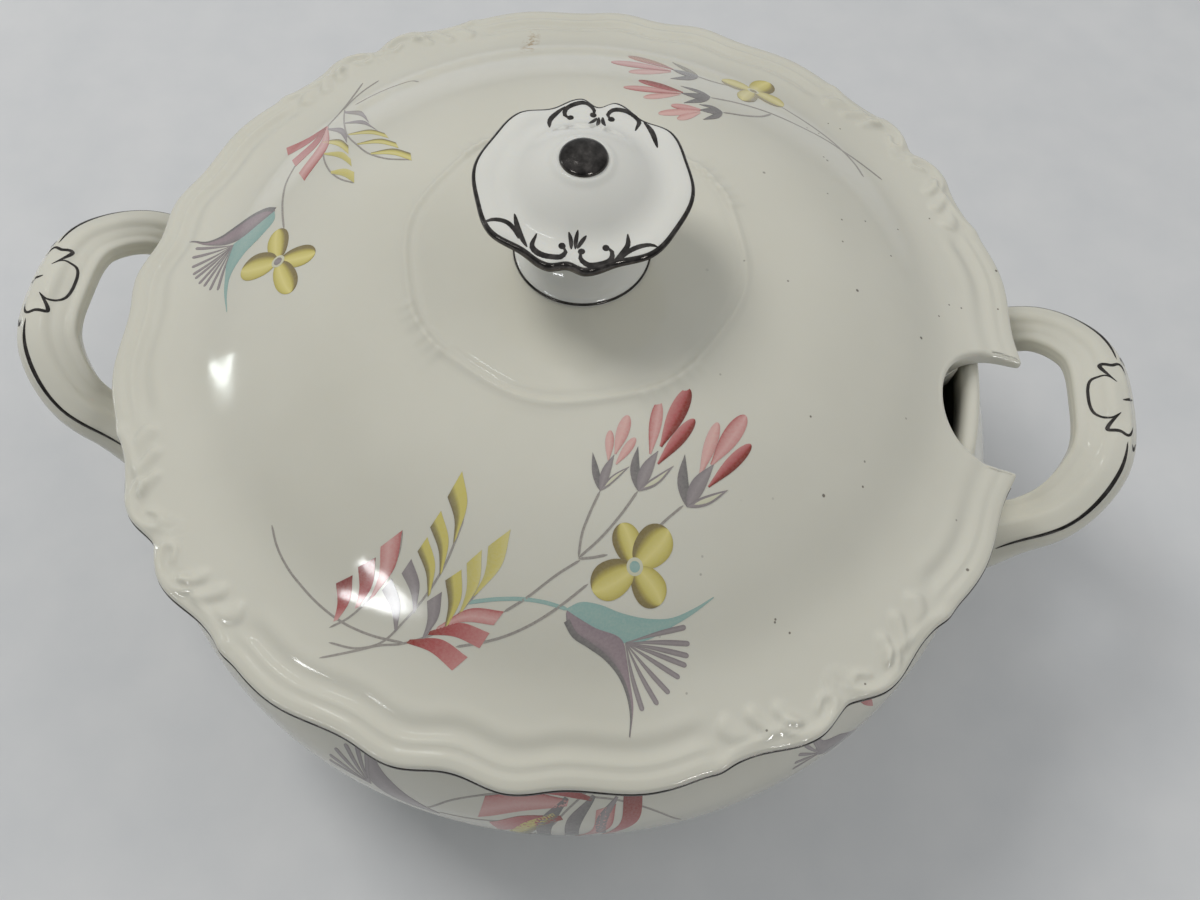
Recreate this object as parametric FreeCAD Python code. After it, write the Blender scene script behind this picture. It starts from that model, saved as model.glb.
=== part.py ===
"""Covered porcelain tureen: a round bowl with two ear handles, and a loose domed lid.

Millimetres, +Z up. The origin is the centre of the foot's base, and +X runs along the two handles.
Heights on the lid and knob are given above RIM_Z, the middle of the lid's scalloped edge.
"""
import FreeCAD, Part
import math
import os

V = FreeCAD.Vector
Z_AXIS = V(0, 0, 1)

# Driving dimensions
RIM_Z = 110.0            # middle of the lid's edge, above the table
EDGE_T = 3.2             # thickness of the lid's edge
SEAT_Z = RIM_Z - EDGE_T / 2
SEAT_GAP = 0.3           # between the bowl's lip and the brim's flat underside
WALL = 4.8               # bowl wall
FOOT_H = 12.0
FOOT_R = 62.0            # outer radius of the foot ring at the table
FOOT_TOP_R = 58.5
FOOT_W = 7.5
TREAD_CORNER = 1.6       # bevel either side of the ring's flat tread
BELLY_R = 129.8
BELLY_Z = 61.0
NECK_R = 115.0           # outer radius just under the lip
NECK_Z = 101.5
FLOOR_R = 48.0           # flat part of the bowl's floor
LIP_R = 2.7              # radius of the rounded lip's section
LIP_CENTRE_R = 112.6

LID_TURN = -6.3          # degrees, the lid's notch measured from the right handle
BRIM_R = 129.0           # blank that the scalloped outline is cut from
DOME_H = 36.6            # top of the dome
NOTCH_X = 118.0          # centre of the notch's round end
NOTCH_R = 17.0
FLANGE_OUT_R = 108.4
FLANGE_IN_R = 104.4
FLANGE_DEPTH = 9.0

# Rim of the lid: angle from the notch in degrees, radius in mm. Crests and dips of an eighth of the
# outline, which is mirrored at 45 degrees and repeated four times.
RIM_WAVE = (
    (0.0, 123.4), (6.5, 125.7), (12.5, 124.1), (21.5, 126.0), (32.5, 123.9), (40.0, 126.5), (45.0, 124.2),
)

KNOB_TURN = -1.8         # degrees
KNOB_SHIFT = V(1.7, 0, 0)  # the knob is luted a little off centre, in the lid's frame
KNOB_FOOT_R = 16.5
KNOB_WAIST_R = 9.6
KNOB_SEAT_R = 17.5       # where the stem meets the cap
KNOB_SEAT_H = 57.4
KNOB_RIM_H = 59.8
KNOB_TOP_H = 68.7
KNOB_BLANK_R = 26.0
BUTTON_R = 5.4
BUTTON_H = 70.8
# Edge of the knob's cap, as for the rim: a quarter of the outline, mirrored at 90 degrees.
CAP_WAVE = ((0.0, 23.2), (10.0, 25.0), (27.0, 23.5), (47.0, 25.3), (68.0, 24.5), (90.0, 25.1))

# Half of a handle's centre line, from inside the bowl wall out to the middle of the loop, and the
# half width and half height of its oval section there.
HANDLE_LINE = (
    (V(112.0, 36.4, 73.0), 8.2, 7.2),
    (V(126.0, 34.9, 80.2), 7.0, 5.8),
    (V(140.2, 30.8, 90.4), 7.4, 5.0),
    (V(149.6, 19.2, 98.4), 8.1, 4.6),
    (V(152.1, 0.0, 101.0), 8.8, 4.5),
)
HANDLE_SECTIONS = 17
SECTION_POINTS = 16


def save(shape, node):
    """Write one node to its own file."""
    shape.exportStep("parts/" + node + ".step")


def spline(points, start=None, end=None):
    """A smooth edge through the points, with optional end directions."""
    curve = Part.BSplineCurve()
    if start and end:
        curve.interpolate(Points=points, InitialTangent=start, FinalTangent=end)
    else:
        curve.interpolate(Points=points)
    return curve.toShape()


def line(a, b):
    return Part.makeLine(a, b)


def turned(edges):
    """Solid of revolution about Z from a closed profile in the XZ plane."""
    face = Part.Face(Part.Wire(Part.__sortEdges__(edges)))
    return face.revolve(V(0, 0, 0), Z_AXIS, 360)


def about_axis(shape, degrees):
    moved = shape.copy()
    moved.rotate(V(0, 0, 0), Z_AXIS, degrees)
    return moved


def wave_radius(stops, degrees):
    """Radius of a scalloped outline: half cosine waves between its crests and dips."""
    for (a0, r0), (a1, r1) in zip(stops, stops[1:]):
        if degrees <= a1:
            part = (degrees - a0) / (a1 - a0)
            return r0 + (r1 - r0) * (1.0 - math.cos(math.pi * part)) / 2.0
    return stops[-1][1]


def wave_prism(stops, low, high):
    """Upright prism whose outline repeats and mirrors the stops all the way round."""
    span = stops[-1][0]
    angles = []
    for (a0, _), (a1, _) in zip(stops, stops[1:]):
        angles += [a0, (3 * a0 + a1) / 4, (a0 + a1) / 2, (a0 + 3 * a1) / 4]
    angles += [2 * span - a for a in reversed(angles[1:] + [span])]
    points = []
    for turn in range(round(180 / span)):
        for angle in angles:
            folded = min(angle, 2 * span - angle)
            radius = wave_radius(stops, folded)
            full = math.radians(2 * span * turn + angle)
            points.append(V(radius * math.cos(full), radius * math.sin(full), low))
    curve = Part.BSplineCurve()
    curve.interpolate(Points=points, PeriodicFlag=True)
    return Part.Face(Part.Wire(curve.toShape())).extrude(V(0, 0, high - low))


def belly_outside():
    """Outer profile of the bowl from the foot ring up to the neck."""
    return spline(
        [V(FOOT_TOP_R, 0, FOOT_H), V(93, 0, 21.5), V(118, 0, 38.5), V(BELLY_R, 0, BELLY_Z), V(124.6, 0, 83),
         V(NECK_R, 0, NECK_Z)],
        V(1, 0, 0.12), V(-0.3, 0, 1),
    )


def bowl_body():
    lip_z = SEAT_Z - SEAT_GAP - LIP_R
    lip_out = V(LIP_CENTRE_R + LIP_R, 0, lip_z)
    lip_top = V(LIP_CENTRE_R, 0, lip_z + LIP_R)
    lip_in = V(LIP_CENTRE_R - LIP_R, 0, lip_z)
    floor_z = FOOT_H + WALL
    inside = spline(
        [V(LIP_CENTRE_R - LIP_R, 0, NECK_Z - 1), V(119.8, 0, 82.5), V(BELLY_R - WALL, 0, BELLY_Z),
         V(114.2, 0, 41.6), V(90.5, 0, 25.8), V(FLOOR_R, 0, floor_z)],
        V(0.3, 0, -1), V(-1, 0, -0.05),
    )
    edges = [
        line(V(0, 0, FOOT_H), V(FOOT_TOP_R, 0, FOOT_H)),
        belly_outside(),
        line(V(NECK_R, 0, NECK_Z), lip_out),
        Part.Arc(lip_out, lip_top, lip_in).toShape(),
        line(lip_in, V(LIP_CENTRE_R - LIP_R, 0, NECK_Z - 1)),
        inside,
        line(V(FLOOR_R, 0, floor_z), V(0, 0, floor_z)),
        line(V(0, 0, floor_z), V(0, 0, FOOT_H)),
    ]
    return turned(edges)


def foot_ring():
    inner = FOOT_R - FOOT_W
    top_in = inner - 1.5
    edges = [
        line(V(FOOT_R - TREAD_CORNER, 0, 0), V(inner + TREAD_CORNER, 0, 0)),
        line(V(inner + TREAD_CORNER, 0, 0), V(inner, 0, TREAD_CORNER)),
        line(V(inner, 0, TREAD_CORNER), V(top_in, 0, FOOT_H)),
        line(V(top_in, 0, FOOT_H), V(FOOT_TOP_R, 0, FOOT_H)),
        line(V(FOOT_TOP_R, 0, FOOT_H), V(FOOT_R, 0, TREAD_CORNER)),
        line(V(FOOT_R, 0, TREAD_CORNER), V(FOOT_R - TREAD_CORNER, 0, 0)),
    ]
    return turned(edges)


def bowl_blank():
    """The bowl filled in, used to trim the handles to its wall."""
    edges = [
        line(V(0, 0, FOOT_H), V(FOOT_TOP_R, 0, FOOT_H)),
        belly_outside(),
        line(V(NECK_R, 0, NECK_Z), V(0, 0, NECK_Z)),
        line(V(0, 0, NECK_Z), V(0, 0, FOOT_H)),
    ]
    return turned(edges)


def handle_right():
    """Oval band lofted along the ear-shaped loop, trimmed to the belly."""
    near = [(V(p.x, -p.y, p.z), a, b) for p, a, b in HANDLE_LINE]
    stations = near[:-1] + list(reversed(HANDLE_LINE))
    centre = Part.BSplineCurve()
    centre.interpolate(Points=[p for p, _, _ in stations])
    first, last = centre.FirstParameter, centre.LastParameter
    knots = [centre.parameter(p) for p, _, _ in stations]
    rings = []
    for i in range(HANDLE_SECTIONS):
        t = first + (last - first) * i / (HANDLE_SECTIONS - 1)
        k = max(j for j in range(len(knots) - 1) if knots[j] <= t + 1e-9)
        part = (t - knots[k]) / (knots[k + 1] - knots[k])
        wide = stations[k][1] + (stations[k + 1][1] - stations[k][1]) * part
        tall = stations[k][2] + (stations[k + 1][2] - stations[k][2]) * part
        along = V(centre.tangent(t)[0])
        along.normalize()
        up = Z_AXIS - along * Z_AXIS.dot(along)
        up.normalize()
        side = along.cross(up)
        points = []
        for j in range(SECTION_POINTS):
            turn = -2 * math.pi * j / SECTION_POINTS
            points.append(centre.value(t) + side * (wide * math.cos(turn)) + up * (tall * math.sin(turn)))
        ring = Part.BSplineCurve()
        ring.interpolate(Points=points, PeriodicFlag=True)
        rings.append(Part.Wire(ring.toShape()))
    loop = Part.makeLoft(rings, True, False)
    return loop.cut(bowl_blank())


def dome_outside():
    """Outer profile of the lid from the middle of the dome out to the brim."""
    return spline(
        [V(0, 0, RIM_Z + DOME_H), V(20, 0, RIM_Z + 36.2), V(43, 0, RIM_Z + 34.3), V(65, 0, RIM_Z + 28.6),
         V(85, 0, RIM_Z + 18.6), V(103, 0, RIM_Z + 7.6), V(115, 0, RIM_Z + 3.8), V(BRIM_R, 0, RIM_Z + 0.6)],
        V(1, 0, 0), V(1, 0, -0.35),
    )


def dome_inside():
    """Inner profile, from the brim's inner edge to the middle of the dome."""
    return spline(
        [V(FLANGE_IN_R, 0, SEAT_Z), V(84, 0, RIM_Z + 12.8), V(64, 0, RIM_Z + 23.6), V(42, 0, RIM_Z + 29.7),
         V(20, 0, RIM_Z + 31.8), V(0, 0, RIM_Z + DOME_H - WALL)],
        V(-1, 0, 0.45), V(-1, 0, 0),
    )


def notch_cutter():
    """Upright slot that a ladle's handle lies in."""
    low = RIM_Z - 2 * FLANGE_DEPTH
    height = 60.0
    end = Part.makeCylinder(NOTCH_R, height, V(NOTCH_X, 0, low))
    slot = Part.makeBox(40, 2 * NOTCH_R, height, V(NOTCH_X, -NOTCH_R, low))
    return end.fuse(slot).removeSplitter()


def lid_shell():
    edges = [
        dome_outside(),
        line(V(BRIM_R, 0, RIM_Z + 0.6), V(BRIM_R, 0, SEAT_Z)),
        line(V(BRIM_R, 0, SEAT_Z), V(FLANGE_IN_R, 0, SEAT_Z)),
        dome_inside(),
        line(V(0, 0, RIM_Z + DOME_H - WALL), V(0, 0, RIM_Z + DOME_H)),
    ]
    scalloped = turned(edges).common(wave_prism(RIM_WAVE, RIM_Z - 5, RIM_Z + 60))
    return scalloped.cut(notch_cutter())


def lid_flange():
    low = SEAT_Z - FLANGE_DEPTH
    edges = [
        line(V(FLANGE_IN_R, 0, SEAT_Z), V(FLANGE_OUT_R, 0, SEAT_Z)),
        line(V(FLANGE_OUT_R, 0, SEAT_Z), V(FLANGE_OUT_R, 0, low + 2)),
        Part.Arc(V(FLANGE_OUT_R, 0, low + 2), V(106.4, 0, low), V(FLANGE_IN_R, 0, low + 2)).toShape(),
        line(V(FLANGE_IN_R, 0, low + 2), V(FLANGE_IN_R, 0, SEAT_Z)),
    ]
    return turned(edges).cut(notch_cutter())


def knob_stem():
    seat = RIM_Z + KNOB_SEAT_H
    foot = RIM_Z + DOME_H - 2
    waist = spline(
        [V(KNOB_FOOT_R, 0, RIM_Z + 37.4), V(12.2, 0, RIM_Z + 40.6), V(KNOB_WAIST_R, 0, RIM_Z + 46.6),
         V(11.4, 0, RIM_Z + 52.8), V(KNOB_SEAT_R, 0, seat)],
        V(-1, 0, 0.25), V(1, 0, 0.45),
    )
    edges = [
        line(V(0, 0, foot), V(KNOB_FOOT_R, 0, foot)),
        line(V(KNOB_FOOT_R, 0, foot), V(KNOB_FOOT_R, 0, RIM_Z + 37.4)),
        waist,
        line(V(KNOB_SEAT_R, 0, seat), V(0, 0, seat)),
        line(V(0, 0, seat), V(0, 0, foot)),
    ]
    return turned(edges)


def knob_cap():
    seat = RIM_Z + KNOB_SEAT_H
    rim = RIM_Z + KNOB_RIM_H
    top = RIM_Z + KNOB_TOP_H
    under = spline([V(KNOB_SEAT_R, 0, seat), V(22.5, 0, rim - 1.2), V(KNOB_BLANK_R, 0, rim - 1.0)])
    over = spline(
        [V(KNOB_BLANK_R, 0, rim + 1.2), V(21.5, 0, rim + 1.8), V(18, 0, rim + 2.3), V(15, 0, rim + 3.6),
         V(11.5, 0, rim + 5.7), V(8.5, 0, rim + 7.2), V(6.4, 0, top)],
        V(-1, 0, 0.12), V(-1, 0, 0.7),
    )
    edges = [
        line(V(0, 0, seat), V(KNOB_SEAT_R, 0, seat)),
        under,
        line(V(KNOB_BLANK_R, 0, rim - 1.0), V(KNOB_BLANK_R, 0, rim + 1.2)),
        over,
        line(V(6.4, 0, top), V(0, 0, top)),
        line(V(0, 0, top), V(0, 0, seat)),
    ]
    outline = about_axis(wave_prism(CAP_WAVE, seat - 5, top + 5), 90)
    return turned(edges).common(outline)


def knob_button():
    """Cap of a sphere standing on the top of the knob."""
    low = RIM_Z + KNOB_TOP_H
    height = BUTTON_H - KNOB_TOP_H
    radius = (BUTTON_R ** 2 + height ** 2) / (2 * height)
    ball = Part.makeSphere(radius, V(0, 0, low + height - radius))
    return ball.common(Part.makeCylinder(BUTTON_R + 1, height + 1, V(0, 0, low)))


def on_lid(shape, degrees=0.0):
    """Turn a knob piece, shift it off centre and carry it round with the lid."""
    placed = about_axis(shape, degrees)
    placed.translate(KNOB_SHIFT)
    return about_axis(placed, LID_TURN)


def main():
    os.makedirs("parts", exist_ok=True)
    right = handle_right()
    shell = about_axis(lid_shell(), LID_TURN)
    save(bowl_body(), "bowl_body")
    save(foot_ring(), "foot_ring")
    save(right, "handle_right")
    save(about_axis(right, 180), "handle_left")
    save(shell, "lid_shell")
    save(about_axis(lid_flange(), LID_TURN), "lid_flange")
    save(on_lid(knob_stem()).cut(shell), "knob_stem")
    save(on_lid(knob_cap(), KNOB_TURN - LID_TURN), "knob_cap")
    save(on_lid(knob_button()), "knob_button")


main()
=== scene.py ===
"""Looks of the covered tureen: glazed porcelain with relief, painted sprays and platinum lines.

Lengths are millimetres until a mesh is made. The lid is described in its own frame, with +X through
the middle of the ladle notch, and turned into the shared frame at the end.
"""
import bpy
import math
import numpy as np
from mathutils import Matrix, Vector


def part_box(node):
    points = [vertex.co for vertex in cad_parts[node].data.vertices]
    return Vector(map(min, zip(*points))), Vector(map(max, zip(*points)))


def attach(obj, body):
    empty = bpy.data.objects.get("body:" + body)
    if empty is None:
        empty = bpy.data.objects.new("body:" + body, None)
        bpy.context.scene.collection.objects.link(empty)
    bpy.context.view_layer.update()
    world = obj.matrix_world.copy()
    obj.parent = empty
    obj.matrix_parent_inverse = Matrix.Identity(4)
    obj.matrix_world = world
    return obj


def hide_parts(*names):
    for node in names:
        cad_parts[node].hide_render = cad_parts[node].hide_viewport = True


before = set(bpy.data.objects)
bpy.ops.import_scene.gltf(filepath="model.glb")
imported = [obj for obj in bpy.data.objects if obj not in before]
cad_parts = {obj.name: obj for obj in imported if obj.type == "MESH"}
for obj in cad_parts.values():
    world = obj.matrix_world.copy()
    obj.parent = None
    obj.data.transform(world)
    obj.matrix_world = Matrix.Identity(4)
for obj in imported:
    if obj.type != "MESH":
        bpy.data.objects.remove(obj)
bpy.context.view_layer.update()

MM = 0.001
LID_TURN = -6.3          # degrees from +X to the notch
EDGE_T = 3.2             # thickness of the lid's rim
SEAT_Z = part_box("lid_shell")[0].z / MM
RIM_Z = SEAT_Z + EDGE_T / 2


# ---------------------------------------------------------------- small mathematics

def smooth(x, low, high):
    """0 below low, 1 above high, and a smooth step between."""
    t = np.clip((np.asarray(x, float) - low) / (high - low), 0, 1)
    return t * t * (3 - 2 * t)


def hump(x, centre, width):
    return np.exp(-(((x - centre) / width) ** 2))


def circle(degrees):
    """Flat unit vectors at angles from +X."""
    turn = np.radians(degrees)
    return np.stack([np.cos(turn), np.sin(turn)], -1)


def distances(points):
    """Distance along a line of points, at each of them."""
    return np.concatenate([[0], np.cumsum(np.linalg.norm(np.diff(points, axis=0), axis=1))])


def curve_through(knots, x):
    """Height at x on a smooth curve through (x, height) knots."""
    xs, ys = np.array(knots, float).T
    slopes = np.gradient(ys, xs)
    k = np.clip(np.searchsorted(xs, x, side="right") - 1, 0, len(xs) - 2)
    step = xs[k + 1] - xs[k]
    t = np.clip((x - xs[k]) / step, 0, 1)
    a = (1 + 2 * t) * (1 - t) ** 2 * ys[k] + t * (1 - t) ** 2 * step * slopes[k]
    b = t * t * (3 - 2 * t) * ys[k + 1] + t * t * (t - 1) * step * slopes[k + 1]
    return a + b


def smooth_path(points, steps):
    """Evenly stepped points on a smooth line through the given ones, with any number of columns."""
    points = np.array(points, float)
    along = distances(points[:, :2])
    at = np.linspace(0, along[-1], steps)
    return np.stack([curve_through(np.stack([along, c], 1), at) for c in points.T], 1)


def wave(stops, degrees):
    """Radius of a scalloped outline: half cosine waves between its crests and dips, mirrored round."""
    angles, radii = np.array(stops).T
    folded = np.mod(degrees, 2 * angles[-1])
    folded = np.minimum(folded, 2 * angles[-1] - folded)
    k = np.clip(np.searchsorted(angles, folded, side="right") - 1, 0, len(angles) - 2)
    t = (folded - angles[k]) / (angles[k + 1] - angles[k])
    return radii[k] + (radii[k + 1] - radii[k]) * (1 - np.cos(np.pi * t)) / 2


def turned(points, degrees):
    """Points turned about Z."""
    c, s = math.cos(math.radians(degrees)), math.sin(math.radians(degrees))
    x, y, z = points[..., 0], points[..., 1], points[..., 2]
    return np.stack([c * x - s * y, s * x + c * y, z], -1)


def at_height(flat, z):
    """Flat points lifted to one height, or to a height each."""
    return np.column_stack([flat, np.full(len(flat), z)])


# ---------------------------------------------------------------- meshes

def grid_faces(rows, cols, closed, start=0):
    """Quads of a grid of points. A closed grid's last column joins its first."""
    r, c = np.meshgrid(np.arange(rows - 1), np.arange(cols if closed else cols - 1), indexing="ij")
    right = (c + 1) % cols
    quads = np.stack([r * cols + c, r * cols + right, (r + 1) * cols + right, (r + 1) * cols + c], -1)
    return (quads.reshape(-1, 4) + start).tolist()


def closed_grid(rows, inside_out=False, first=None, last=None):
    """Points and faces of a stack of rings, closed at each end.

    The closing points lie on the axis at heights first and last, or amid their rings.
    """
    columns = len(rows[0])
    top = len(rows) * columns
    end = top - columns
    faces = grid_faces(len(rows), columns, True)
    for c in range(columns):
        n = (c + 1) % columns
        faces += [[top, n, c], [top + 1, end + c, end + n]]
    if inside_out:
        faces = [f[::-1] for f in faces]
    first = rows[0].mean(0) if first is None else (0, 0, first)
    last = rows[-1].mean(0) if last is None else (0, 0, last)
    return np.vstack([*rows, first, last]), faces


def revolved(profile, columns):
    """Points and faces of a turned solid. The profile starts and ends on the axis, or closes up."""
    profile = np.array(profile, float)
    around = circle(np.arange(columns) * 360 / columns)
    is_ring = profile[0, 0] > 0
    rows = [at_height(around * r, z) for r, z in (profile if is_ring else profile[1:-1])]
    if not is_ring:
        return closed_grid(rows, first=profile[0, 1], last=profile[-1, 1])
    faces = grid_faces(len(rows), columns, True)
    end = (len(rows) - 1) * columns
    faces += [[end + c, end + (c + 1) % columns, (c + 1) % columns, c] for c in range(columns)]
    return np.vstack(rows), faces


def add_piece(name, points, faces, material, body, slot, sharp=None):
    """A smooth mesh that rides on a body, with hard edges only above the angle sharp."""
    mesh = bpy.data.meshes.new(name)
    mesh.from_pydata((points * MM).tolist(), [], faces)
    mesh.shade_smooth()
    if sharp:
        mesh.set_sharp_from_angle(angle=math.radians(sharp))
    mesh.materials.append(material)
    piece = bpy.data.objects.new(name, mesh)
    bpy.context.scene.collection.objects.link(piece)
    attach(piece, body)
    return piece


# ---------------------------------------------------------------- lid

RIM_WAVE = (
    (0, 123.4), (6.5, 125.7), (12.5, 124.1), (21.5, 126), (32.5, 123.9), (40, 126.5), (45, 124.2),
)
DOME = (
    (0, 36.6), (20, 36.2), (43, 34.3), (65, 28.6), (85, 18.6), (103, 7.6), (115, 3.8), (122, 2.2), (129, 0.7),
)
UNDER_DOME = ((0, 31.8), (20, 31.8), (42, 29.7), (64, 23.6), (84, 12.8), (104.4, -1.6))
NOTCH_X = 118.0
NOTCH_R = 17.0
COLUMNS = 1080
CORE_R = 90.0            # inside this radius the lid's grid is plain circles
CORE_TIP = 13.0          # degrees of those circles either side of the notch's middle
CORE_RADII = (4, 9, 14, 19, 24, 29, 34, 37, 39, 40, 40.8, 41.5, 42.1, 42.7, 43.3, 44, 45, 47.5)
ROUND_TOP = 1.5          # radii of the glazed edge
ROUND_UNDER = 1.2
ARC_MM = 2.15            # length of a degree along the rim

# Rings of moulding inside the rim: distance in from it, width and height.
MOULDING = ((2.4, 1.5, 0.60), (4.4, 0.7, -0.12), (5.8, 1.15, 0.40), (9, 1.9, -0.55), (12.6, 1.9, 0.25))

# The low ring round the knob, with beads beside each diagonal.
RING_R = 42.7
RING_BEADS = (2.8, 6.6, 10.2)   # degrees off the diagonal
BEAD_R = 43.9
BEAD_ARC_MM = 0.745      # length of a degree there

# Relief either side of each diagonal, as (distance along the rim, distance in from it), width and height.
SCROLLS = (
    (((3, 2.4), (6, 1.7), (11, 1.9), (15.5, 2.6), (17.4, 4.4), (15.6, 5.7), (13.8, 4.8)), 1.05, 1.1),
    (((2.6, 2.6), (3.4, 4.6), (5.6, 6.1), (7.8, 5.2)), 0.95, 0.85),
    (((19.5, 3.6), (24, 2.6), (29, 2.2), (33.5, 1.9)), 1, 0.8),
)
BALLS = ((3, 2.6, 1.7, 0.66), (13.6, 4.7, 1.3, 0.42), (7.9, 5.1, 1.3, 0.42), (34.2, 1.8, 1.5, 0.54))
LEAF_EDGES = (9.5, 16.0, 23.0, 31.0)


def rim_radius(degrees):
    """Scalloped rim, with a sharp nick on each diagonal and a small knuckle at each relief's end."""
    off = np.abs(np.mod(degrees, 90) - 45)
    return wave(RIM_WAVE, degrees) - 0.8 * np.exp(-off / 1.6) + 0.7 * hump(off, 16, 1.4)


def ridge(s, inset, line, width, height):
    """A rounded ridge along a line of points."""
    path = smooth_path(line, 24)
    near = np.full(s.shape, 1e9)
    for a, b in zip(path, path[1:]):
        d = b - a
        t = np.clip(((s - a[0]) * d[0] + (inset - a[1]) * d[1]) / (d @ d), 0, 1)
        near = np.minimum(near, np.hypot(s - a[0] - t * d[0], inset - a[1] - t * d[1]))
    return height * hump(near, 0, width)


def cartouche(s, inset):
    """Scrolls, a small shell and diagonal leaves, for one half of the ornament."""
    height = np.zeros(s.shape)
    for line, width, tall in SCROLLS:
        height = np.maximum(height, ridge(s, inset, line, width, tall))
    for ball_s, ball_in, radius, tall in BALLS:
        height = np.maximum(height, tall * hump(np.hypot(s - ball_s, inset - ball_in), 0, radius))
    reach = np.hypot(s, inset - 1.0)
    angle = np.arctan2(s, inset - 1.0 + 1e-6)
    shell = 0.4 * np.cos(angle * 13) ** 2 * smooth(reach, 2.0, 3.5) * (1 - smooth(reach, 7.0, 9.0))
    height += shell * (1 - smooth(angle, 0.45, 0.62))
    shift = 3.2 * smooth(inset, 3.0, 9.0)
    for low, high in zip(LEAF_EDGES, LEAF_EDGES[1:]):
        t = (s - low - shift) / (high - low)
        tip = 11.6 - 3.0 * (2 * t - 1) ** 2
        body = np.sin(np.pi * np.clip(t, 0, 1) ** 1.5)
        height += 0.95 * body * smooth(inset, 2.6, 5.0) * (1 - smooth(inset, tip - 2.9, tip))
    return height


def lid_relief(x, y):
    """Height of the moulding and ornament above the plain dome."""
    r = np.hypot(x, y)
    degrees = np.degrees(np.arctan2(y, x))
    inset = rim_radius(degrees) - r
    off = np.abs(np.mod(degrees, 90) - 45)
    beyond_notch = smooth(np.abs((degrees + 180) % 360 - 180), 11, 24)
    moulding = sum(tall * hump(inset, at, width) for at, width, tall in MOULDING)
    height = moulding * smooth(off, 15.0, 19.0) * (0.45 + 0.55 * beyond_notch)
    rim_zone = (inset < 13) & (off < 21)
    height[rim_zone] += cartouche(off[rim_zone] * ARC_MM, inset[rim_zone])
    ring = RING_R + 0.5 * np.cos(np.radians(8 * degrees))
    height += 0.58 * hump(r, ring, 0.95) + 0.22 * hump(r, ring - 3.0, 0.9)
    height += 0.15 * (1 - smooth(r, 38.0, 42.0))
    for bead in RING_BEADS:
        height += 0.55 * np.exp(-(((off - bead) * BEAD_ARC_MM) ** 2 + (r - BEAD_R) ** 2) / 1.7)
    return height


def lid_surface(x, y):
    """Points of the glazed upper face."""
    x, y = np.asarray(x, float), np.asarray(y, float)
    z = RIM_Z + curve_through(DOME, np.hypot(x, y)) + lid_relief(x, y)
    return np.stack([x, y, z], -1)


def lid_under(flat):
    """Points of the lid's lower face: a hollow dome inside a flat rim."""
    r = np.hypot(*flat.T)
    z = np.where(r > UNDER_DOME[-1][0], -EDGE_T / 2, curve_through(UNDER_DOME, r))
    return at_height(flat, RIM_Z + z)


def round_filter(values, spacing, sigma):
    """Smooths a closed run of values."""
    reach = int(4 * sigma / spacing)
    weights = np.exp(-0.5 * (np.arange(-reach, reach + 1) * spacing / sigma) ** 2)
    weights /= weights.sum()
    long = np.concatenate([values[-reach:], values, values[:reach]])
    return np.stack([np.convolve(c, weights, "valid") for c in long.T], 1)


def lid_outline():
    """The rim and the notch as one closed run of points, with outward normals and core directions."""
    tip = math.degrees(math.asin(NOTCH_R / rim_radius(7.8)))
    degrees = np.arange(tip, 360 - tip, 0.1)
    rim = circle(degrees) * rim_radius(degrees)[:, None]
    side = np.arange(rim[-1, 0], NOTCH_X, -0.2)
    low = np.stack([side, np.full(len(side), -NOTCH_R)], 1)
    bend = (NOTCH_X, 0) + NOTCH_R * circle(np.arange(-90, -270.1, -0.7))
    loop = np.vstack([rim, low, bend, low[::-1] * (1, -1), rim[:1]])
    along = distances(loop)
    at = np.linspace(0, along[-1], COLUMNS, endpoint=False)
    even = np.stack([np.interp(at, along, c) for c in loop.T], 1)
    spacing = along[-1] / COLUMNS
    edge = round_filter(even, spacing, 0.75)
    flow = np.roll(even, -1, 0) - np.roll(even, 1, 0)
    normal = round_filter(np.stack([flow[:, 1], -flow[:, 0]], 1), spacing, 1.9)
    normal /= np.linalg.norm(normal, axis=1)[:, None]
    rim_end = along[len(rim) - 1]
    notch_part = (at - rim_end) / (along[-1] - rim_end)
    raw = np.degrees(np.arctan2(even[:, 1], even[:, 0])) % 360
    widened = np.interp(raw, [tip, 34, 326, 360 - tip], [CORE_TIP, 34, 326, 360 - CORE_TIP])
    core = np.where(at > rim_end, 360 - CORE_TIP + 2 * CORE_TIP * notch_part, widened)
    return edge, normal, circle(core)


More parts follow.
